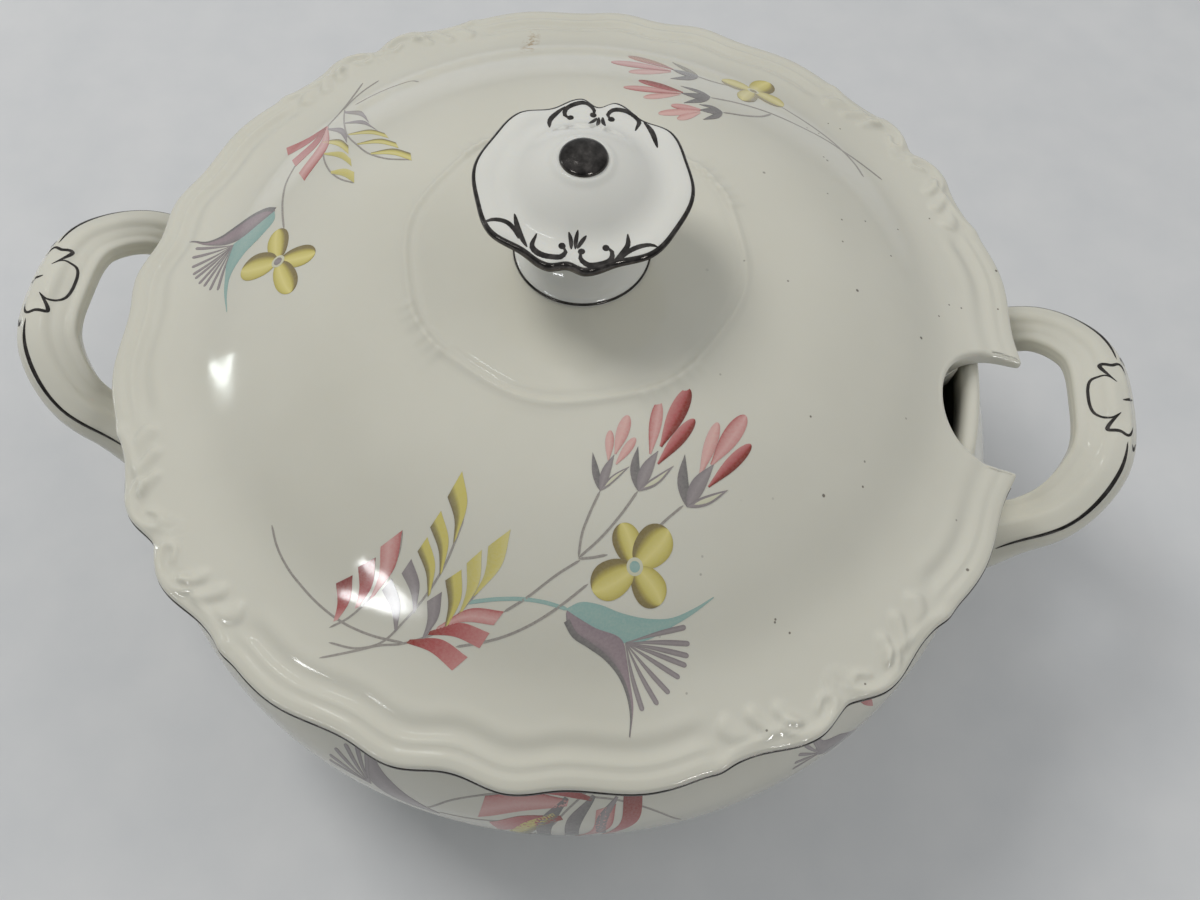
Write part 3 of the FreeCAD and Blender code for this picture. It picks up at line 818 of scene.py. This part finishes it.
def palmette(p):
    """Painted leaf on the middle of a handle, with tapering lines either side."""
    outline_on_handle(p, ((-4.8, 74), (-6.6, 92), (-5.8, 116), (0, 130), (5.8, 116), (6.6, 92), (4.8, 74)))
    outline_on_handle(p, ((-0.8, 68), (0, 50), (0.8, 32)))
    for side in (1, -1):
        taper = np.array([(12.5, 60), (20, 56), (32, 50), (54, 45)]) * (side, 1)
        stroke(p, "platinum", taper, 9.5, "spindle")
        for line in (((4.8, 74), (6.4, 84), (10.2, 96), (10, 76), (10.6, 60), (8, 46)),
                     ((12.2, 44), (13.2, 34), (11.6, 26))):
            outline_on_handle(p, np.array(line) * (side, 1))


CAP_STROKES = (
    (((2, -19.6), (1.6, -17.6), (0.9, -16)), 0.95),
    (((2.9, -19.5), (2.7, -17.4), (2.8, -15.4)), 0.95),
    (((3.3, -19.3), (3.9, -17.8), (4.8, -16.2)), 0.95),
    (((-0.3, -19.3), (0.9, -20.2), (0.2, -21.8), (-2, -22.5), (-4.4, -22.1), (-6.5, -20.3), (-6.1, -16.8)),
     1.4),
    (((4.2, -19.9), (4.4, -21.9), (6.2, -23.3), (8.8, -22.6), (11, -20.4), (10.7, -18.6), (9.3, -17.9)), 1.4),
    (((-11.8, -12.4), (-10.4, -16), (-9.2, -18.2), (-7.6, -20.4)), 1.25),
    (((13.6, -13.8), (14, -16.6), (13, -19), (11.2, -21.6)), 1.25),
)
CORNER_STROKES = (
    (((-18.2, -15.6), (-16, -14.7), (-13, -14.9), (-11.2, -16.4), (-9.8, -18.6)), 1.2),
    (((12.6, -20.6), (14.2, -18.4), (16.8, -16.6), (19.4, -15.9), (20.6, -16.1)), 1.2),
)


def cap_ornament(p):
    """Rays and paired scrolls at the front of the knob, and turned about for the back without corners."""
    for way, shift, strokes in ((1, 1.7, CAP_STROKES + CORNER_STROKES), (-1, 3.6, CAP_STROKES)):
        for line, width in strokes:
            stroke(p, "platinum", (np.array(line) + (-shift, 0.2)) * way, width, "spindle")
        for x, y in ((-0.1, -19.2), (4.3, -20.0), (9.4, -18.1)):
            ball = np.array([(x - 0.8, y), (x, y), (x + 0.8, y)])
            stroke(p, "platinum", (ball + (-shift, 0.2)) * way, 1.6, "dot", 0.06, 4)


def paint_layers():
    """Each surface: how flat points land on it, and the body it belongs to."""
    def lid(f):
        return turned(lid_surface(f[..., 0], f[..., 1]), LID_TURN)

    def bowl(f):
        return bowl_surface(f[..., 0], f[..., 1])

    def cap(f):
        return on_lid(cap_surface(f[..., 0], f[..., 1]), KNOB_TURN)

    def right(f):
        return handle_surface(f[..., 0], f[..., 1])

    def left(f):
        return turned(right(f), 180)

    return {"lid": (lid, "lid"), "bowl": (bowl, "bowl"), "knob": (cap, "lid"),
            "handle_right": (right, "bowl"), "handle_left": (left, "bowl")}


PAINT_DEPTH = 0.12       # how far the closed patches reach below the glaze
PROBE = 0.05             # step for measuring a surface's slope


def turns_left(a, b):
    return a[0] * b[1] - a[1] * b[0]


def flush_paint(inks):
    """Makes one mesh of thin closed patches for each surface and colour."""
    layers = paint_layers()
    for (place, colour), patches in painted.items():
        surface, body = layers[place]
        verts, faces, coords, start = [], [], [], 0
        for flat, uv, lift in patches:
            point = surface(flat)
            along, over = (surface(flat + step) - surface(flat - step)
                           for step in np.array([(PROBE, 0), (0, PROBE)]))
            normal = np.cross(along, over)
            normal /= np.linalg.norm(normal, axis=-1, keepdims=True)
            rows, cols = flat.shape[:2]
            count, half = rows * cols, rows // 2
            verts += [(point + normal * lift).reshape(-1, 3), (point - normal * PAINT_DEPTH).reshape(-1, 3)]
            coords += [uv.reshape(-1, 2)] * 2
            top = grid_faces(rows, cols, False, start)
            bottom = [[i + count for i in f[::-1]] for f in top]
            index = np.arange(start, start + count).reshape(rows, cols)
            border = [index[0], index[1:, -1], index[-1, -2::-1], index[-2:0:-1, 0]]
            border = np.concatenate(border).tolist()
            sides = [[a, b, b + count, a + count] for a, b in zip(border, border[1:] + border[:1])]
            area = turns_left(flat[1, 0] - flat[0, 0], flat[0, 1] - flat[0, 0])
            area += turns_left(flat[half + 1, 0] - flat[half, 0], flat[half, -1] - flat[half, 0])
            if area > 0:
                faces += [f[::-1] for f in top + bottom] + sides
            else:
                faces += top + bottom + [f[::-1] for f in sides]
            start += 2 * count
        slot = "platinum" if colour == "platinum" else "porcelain"
        name = place + "_paint_" + colour
        piece = add_piece(name, np.vstack(verts), faces, inks[colour], body, slot, sharp=60)
        layer = piece.data.uv_layers.new(name="UVMap")
        index = np.empty(len(piece.data.loops), dtype=np.int32)
        piece.data.loops.foreach_get("vertex_index", index)
        layer.data.foreach_set("uv", np.vstack(coords)[index].ravel())


def ribbon(name, middle, out, up, material):
    """A thin bead on the lid along a line of points; out and up are its reach either way."""
    bead = circle(np.arange(0, 360, 45))[:, :, None]
    rings = middle[:, None] + bead[:, 0] * out[:, None] + bead[:, 1] * up[:, None]
    add_piece(name, *closed_grid(rings), material, "lid", "platinum")


LINE_FROM_R = 119.0      # the edge line keeps outside this radius, and off the notch and its corners
CORNER = 3.5


def build_lines(material, lid_edge, lid_normal):
    """Platinum lines: lid edge except the notch, knob rim, knob foot."""
    at_notch = (lid_edge[:, 0] > 100) & (np.abs(lid_edge[:, 1]) < NOTCH_R + CORNER)
    keep = (np.hypot(*lid_edge.T) > LINE_FROM_R) & ~at_notch
    start = int(np.argmax(~keep & np.roll(keep, -1))) + 1
    order = (start + np.arange(keep.sum())) % len(keep)
    edge, normal = lid_edge[order], lid_normal[order]
    middle = at_height(edge - normal * 0.22, SEAT_Z + 1.05)
    line = (middle, at_height(normal * 0.55, 0), at_height(normal * 0.1, 1))
    ribbon("lid_edge_line", *(turned(part, LID_TURN) for part in line), material)

    degrees = np.arange(0, 361)
    ring, radius = circle(degrees), cap_radius(degrees)[:, None]
    crest = cap_surface(*(ring * radius * CAP_SHOULDER).T)[:, 2]
    front = hump(np.abs(np.mod(degrees + 90, 360) - 180), 180, 48)
    middle = at_height(ring * (radius * 0.985 + 0.1), crest - 0.45 - 0.5 * front)
    line = (at_height(ring * 0.5, -0.1), at_height(-ring * 0.3, 0.34 + 0.8 * front))
    reach = (turned(part, KNOB_TURN + LID_TURN) for part in line)
    ribbon("knob_rim_line", on_lid(middle, KNOB_TURN), *reach, material)

    line = (at_height(ring * 0.25, 0.12), at_height(-ring * 0.2, 0.35))
    reach = (turned(part, LID_TURN) for part in line)
    ribbon("knob_foot_line", on_lid(at_height(ring * 16.9, RIM_Z + 37)), *reach, material)


# ---------------------------------------------------------------- materials

class Graph:
    """Short ways to add shader nodes. An input is a number, a tuple or another node's output."""

    def __init__(self, owner):
        owner.use_nodes = True
        self.nodes, self.links = owner.node_tree.nodes, owner.node_tree.links
        self.texture = self.nodes.new("ShaderNodeTexCoord").outputs

    def feed(self, node, inputs):
        for name, value in inputs.items():
            socket = node.inputs[name]
            if isinstance(value, bpy.types.NodeSocket):
                self.links.new(value, socket)
            elif socket.type == "RGBA":
                socket.default_value = (*value, 1)
            else:
                socket.default_value = value

    def add(self, kind, output, inputs, **settings):
        """Adds a node and gives one of its outputs."""
        node = self.nodes.new("ShaderNode" + kind)
        for name, value in settings.items():
            setattr(node, name, value)
        self.feed(node, inputs)
        return node.outputs[output]

    def noise(self, scale, detail=3.0, rough=0.5):
        inputs = {"Vector": self.texture["Object"], "Scale": scale, "Detail": detail, "Roughness": rough}
        return self.add("TexNoise", "Fac", inputs)

    def ramp(self, value, stops):
        """Colour ramp from (position, colour) stops."""
        output = self.add("ValToRGB", "Color", {"Fac": value})
        elements = output.node.color_ramp.elements
        elements[0].position, elements[1].position = stops[0][0], stops[-1][0]
        for position, _ in stops[1:-1]:
            elements.new(position)
        for element, (_, colour) in zip(elements, stops):
            element.color = (*colour, 1)
        return output

    def remap(self, value, low, high, to_low, to_high):
        return self.add("MapRange", "Result", {
            "Value": value, "From Min": low, "From Max": high, "To Min": to_low, "To Max": to_high})

    def mix(self, factor, a, b):
        """Mix of two colours, on the node's colour sockets."""
        return self.add("Mix", 2, {0: factor, 6: a, 7: b}, data_type="RGBA")

    def times(self, first, *others):
        """Product of values."""
        for other in others:
            first = self.add("Math", 0, {0: first, 1: other}, operation="MULTIPLY")
        return first


def glazed(name, base):
    """Glossy glaze over the colour that base(graph) gives, used bare and over everything painted."""
    material = bpy.data.materials.new(name)
    graph = Graph(material)
    bump = {"Strength": 0.035, "Distance": 0.002, "Height": graph.noise(90, 2.0)}
    graph.feed(graph.nodes["Principled BSDF"], {
        "Base Color": base(graph),
        "Roughness": graph.remap(graph.noise(35, 4.0), 0.3, 0.7, 0.0675, 0.135),
        "Normal": graph.add("Bump", "Normal", bump),
        "IOR": 1.52, "Coat Weight": 0.35, "Coat Roughness": 0.05})
    return material, graph


STAIN = (-0.0270, 0.1000, 0.1175)   # metres
SQUEEZE = (1.0, 0.25, 0.25)         # the stain is four times as long as it is wide


def kiln_marks(graph, colour):
    """Kiln specks on the notch's side of the lid, and a small brown stain."""
    at = graph.texture["Object"]
    side = graph.remap(graph.add("SeparateXYZ", "X", {"Vector": at}), 0.02, 0.06, 0, 1)
    for scale, low, high, rarity in ((150, 0.045, 0.075, 0.955), (260, 0.05, 0.09, 0.965)):
        cell = graph.add("TexVoronoi", "Distance", {"Vector": at, "Scale": scale}, voronoi_dimensions="2D")
        tint = graph.add("SeparateColor", "Red", {"Color": cell.node.outputs["Color"]})
        chosen = graph.remap(tint, rarity, rarity + 0.01, 0, 1)
        speck = graph.times(graph.remap(cell, low, high, 0.85, 0), chosen, side)
        colour = graph.mix(speck, colour, (0.11, 0.09, 0.07))
    squeezed = graph.add("VectorMath", 0, {0: at, 1: SQUEEZE}, operation="MULTIPLY")
    centre = tuple(a * b for a, b in zip(STAIN, SQUEEZE))
    away = graph.add("VectorMath", "Value", {0: squeezed, 1: centre}, operation="DISTANCE")
    blot = graph.remap(graph.noise(420, 4.0, 0.7), 0.46, 0.60, 0, 0.8)
    near = graph.remap(away, 0.0012, 0.0032, 1, 0)
    return graph.mix(graph.times(near, blot), colour, (0.36, 0.24, 0.11))


def porcelain(name, light, warm, marked=False):
    """Glaze with a faint cloudy tint."""
    def base(graph):
        colour = graph.ramp(graph.noise(14, 5.0), [(0.3, light), (0.7, warm)])
        return kiln_marks(graph, colour) if marked else colour

    material, graph = glazed(name, base)
    graph.feed(graph.nodes["Principled BSDF"], {
        "Subsurface Weight": 0.12, "Subsurface Radius": (1.0, 0.8, 0.55), "Subsurface Scale": 0.003})
    return material


def platinum():
    """Fired platinum lustre, worn a little so that the dark bole shows."""
    material = bpy.data.materials.new("platinum_lustre")
    graph = Graph(material)
    worn = graph.noise(420, 5.0, 0.65)
    tones = [(0.25, (0.03, 0.027, 0.025)), (0.5, (0.085, 0.078, 0.072)), (0.8, (0.20, 0.18, 0.165))]
    graph.feed(graph.nodes["Principled BSDF"], {
        "Base Color": graph.ramp(worn, tones), "Metallic": 0.9,
        "Roughness": graph.remap(worn, 0.3, 0.7, 0.10, 0.26)})
    return material


def linear(colour):
    """Scene colour of a screen colour."""
    return tuple(((c / 255 + 0.055) / 1.055) ** 2.4 for c in colour)


def paint(name, streak, stops, axis="Y"):
    """Printed colour under the glaze: a gradient across (Y) or along (X) each stroke with fine grain."""
    def base(graph):
        share = graph.add("SeparateXYZ", axis, {"Vector": graph.texture["UV"]})
        colour = graph.ramp(share, [(at, linear(stop)) for at, stop in stops])
        grain = graph.remap(graph.noise(1500, 3.0, 0.7), 0.3, 0.7, 0.0, streak)
        return graph.mix(grain, colour, (0.62, 0.60, 0.52))

    return glazed("paint_" + name, base)[0]


PINK, ROSE, RED, MAROON = (208, 160, 155), (192, 130, 126), (172, 84, 84), (140, 48, 38)
STRAW, YELLOW, OLIVE, BROWN = (176, 162, 84), (200, 188, 104), (150, 140, 88), (118, 106, 80)
TEAL, MAUVE, GREY, CHARCOAL = (138, 172, 166), (142, 126, 132), (148, 142, 136), (108, 106, 104)
PETAL = (
    (0, (124, 110, 70)), (0.16, (132, 118, 74)), (0.28, STRAW), (0.36, YELLOW), (0.62, (218, 206, 132)),
    (0.86, YELLOW), (1, STRAW),
)

# Screen colours of each paint: strength of the grain, stops, and the way they run if not across.
INKS = {
    "pink": (0.25, ((0, PINK), (0.5, (214, 170, 162)), (1, ROSE))),
    "rose": (0.2, ((0, RED), (0.2, ROSE), (0.6, PINK), (1, ROSE))),
    "maroon_edge": (0.1, ((0, ROSE), (0.5, RED), (0.68, MAROON), (1, (112, 36, 28)))),
    "maroon_left": (0.25, ((0, RED), (0.35, RED), (0.6, MAROON), (1, MAROON))),
    "maroon": (0.15, ((0, PINK), (0.35, RED), (0.8, MAROON), (1, (128, 44, 44))), "X"),
    "red": (0.15, ((0, MAROON), (0.45, RED), (1, ROSE)), "X"),
    "yellow": (0.2, ((0, (206, 196, 128)), (0.5, YELLOW), (1, (188, 178, 106)))),
    "yellow_left": (0.1, ((0, BROWN), (0.2, OLIVE), (0.42, YELLOW), (0.72, (212, 202, 138)), (1, YELLOW))),
    "yellow_right": (0.1, ((0, YELLOW), (0.5, YELLOW), (0.72, OLIVE), (1, BROWN))),
    "petal_left": (0.1, PETAL),
    "petal_right": (0.1, tuple((1 - at, colour) for at, colour in PETAL[::-1])),
    "olive": (0.1, ((0, OLIVE), (1, BROWN))),
    "cream": (0.1, ((0, (206, 204, 180)), (1, (200, 198, 172)))),
    "teal": (0.2, ((0, TEAL), (0.5, (146, 176, 168)), (1, TEAL))),
    "mauve": (0.15, ((0, MAUVE), (0.6, (150, 134, 138)), (1, (126, 118, 120)))),
    "grey_mauve": (0.1, ((0, (132, 124, 126)), (0.5, (150, 142, 142)), (1, (136, 128, 128)))),
    "grey": (0.3, ((0, GREY), (1, (140, 134, 128)))),
    "charcoal": (0.15, ((0, (124, 118, 118)), (1, CHARCOAL))),
}


# ---------------------------------------------------------------- stage

CAMERA_PLACE = (17.85, -151.05, RIM_Z + 234.3)
CAMERA_ANGLES = (9.58 + LID_TURN, 64.02, 3.54)     # azimuth from the front, elevation and roll
CAMERA_LENS = 29.47

# Name, azimuth, elevation, distance, two sides, power and colour; the soft ones do not show in the glaze.
LIGHTS = (
    ("soft_key", 148, 54, 1.4, 0.50, 0.50, 9.6, (1.0, 0.985, 0.96)),
    ("soft_fill", 15, 42, 1.4, 1.0, 1.0, 4.0, (1.0, 0.985, 0.96)),
    ("window_front", -130, 30, 1.3, 0.38, 0.05, 1.0, (0.97, 0.99, 1.0)),
    ("window_left", 172, 7, 1.3, 0.20, 0.05, 0.3, (0.93, 1.0, 0.98)),
    ("window_top", 146, 71, 1.3, 0.04, 0.20, 0.12, (0.97, 1.0, 1.0)),
    ("lamp_right", -56, 24, 1.3, 0.24, 0.07, 1.6, (1.0, 1.0, 1.0)),
)


def camera():
    """Looks down on the dish from just right of its front."""
    azimuth, elevation, roll = np.radians(CAMERA_ANGLES)
    right = Vector((math.cos(azimuth), math.sin(azimuth), 0))
    level = Vector((math.sin(azimuth), -math.cos(azimuth), 0))
    back = level * math.cos(elevation) + Vector((0, 0, math.sin(elevation)))
    up = back.cross(right)
    rolled_right = right * math.cos(roll) + up * math.sin(roll)
    rolled_up = up * math.cos(roll) - right * math.sin(roll)
    data = bpy.data.cameras.new("camera")
    data.sensor_width = 36
    data.lens = CAMERA_LENS
    data.clip_start = 0.01
    holder = bpy.data.objects.new("camera", data)
    axes = Matrix((rolled_right, rolled_up, back)).transposed().to_4x4()
    holder.matrix_world = Matrix.Translation(Vector(CAMERA_PLACE) * MM) @ axes
    bpy.context.scene.collection.objects.link(holder)
    bpy.context.scene.camera = holder


def area_light(name, azimuth, elevation, reach, width, height, power, colour):
    """A rectangle that faces the dish, placed by direction and distance in metres."""
    data = bpy.data.lights.new(name, "AREA")
    data.shape = "RECTANGLE"
    data.size, data.size_y = width, height
    data.energy = power
    data.color = colour
    lamp = bpy.data.objects.new(name, data)
    a, e = math.radians(azimuth), math.radians(elevation)
    away = Vector((math.cos(a) * math.cos(e), math.sin(a) * math.cos(e), math.sin(e)))
    lamp.location = Vector((0, 0, 0.12)) + away * reach
    lamp.rotation_euler = (-away).to_track_quat("-Z", "Y").to_euler()
    lamp.visible_glossy = not name.startswith("soft")
    bpy.context.scene.collection.objects.link(lamp)


def studio():
    material = bpy.data.materials.new("pale_floor")
    graph = Graph(material)
    tones = [(0.3, (0.62, 0.63, 0.64)), (0.7, (0.66, 0.665, 0.67))]
    graph.feed(graph.nodes["Principled BSDF"], {
        "Base Color": graph.ramp(graph.noise(40, 6.0), tones), "Roughness": 0.75})
    mesh = bpy.data.meshes.new("floor")
    corners = [(-3, -3, 0), (3, -3, 0), (3, 3, 0), (-3, 3, 0)]
    mesh.from_pydata(corners, [], [(0, 1, 2, 3)])
    mesh.materials.append(material)
    floor = bpy.data.objects.new("floor", mesh)
    bpy.context.scene.collection.objects.link(floor)
    world = bpy.data.worlds.new("studio")
    graph = Graph(world)
    facing = {0: graph.texture["Generated"], 1: (-0.10, 0.62, 0.78)}
    sky = graph.add("VectorMath", "Value", facing, operation="DOT_PRODUCT")
    graph.feed(graph.nodes["Background"], {
        "Color": (0.80, 0.83, 0.86), "Strength": graph.remap(sky, -0.2, 1.0, 0.15, 0.50)})
    bpy.context.scene.world = world
    for light in LIGHTS:
        area_light(*light)
    bpy.context.scene.view_settings.view_transform = "Standard"


ivory = porcelain("ivory_glaze", (0.66, 0.645, 0.56), (0.60, 0.585, 0.50), marked=True)
plain = porcelain("bowl_glaze", (0.66, 0.645, 0.56), (0.60, 0.585, 0.50))
# The knob is the same ivory porcelain as the lid and bowl. Its paler copy of the glaze is painted light, so
# the knob looks more brightly lit.
knob_lit_ivory = porcelain("knob_lit_glaze", (0.74, 0.735, 0.69), (0.68, 0.675, 0.62))
silver = platinum()
camera()
studio()

rim = build_lid(ivory)
build_bowl(plain)
build_foot(plain)
build_handle("handle_right_porcelain", "handle_right", plain, 0)
build_handle("handle_left_porcelain", "handle_left", plain, 180)
build_knob(knob_lit_ivory, silver)
build_lines(silver, *rim)
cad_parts["lid_flange"].material_slots[0].material = plain

front_spray("lid")
left_spray("lid")
right_spray("lid")
bowl_sprays("bowl")
cap_ornament("knob")
palmette("handle_right")
palmette("handle_left")
inks = {name: paint(name, *recipe) for name, recipe in INKS.items()}
flush_paint({**inks, "platinum": silver})
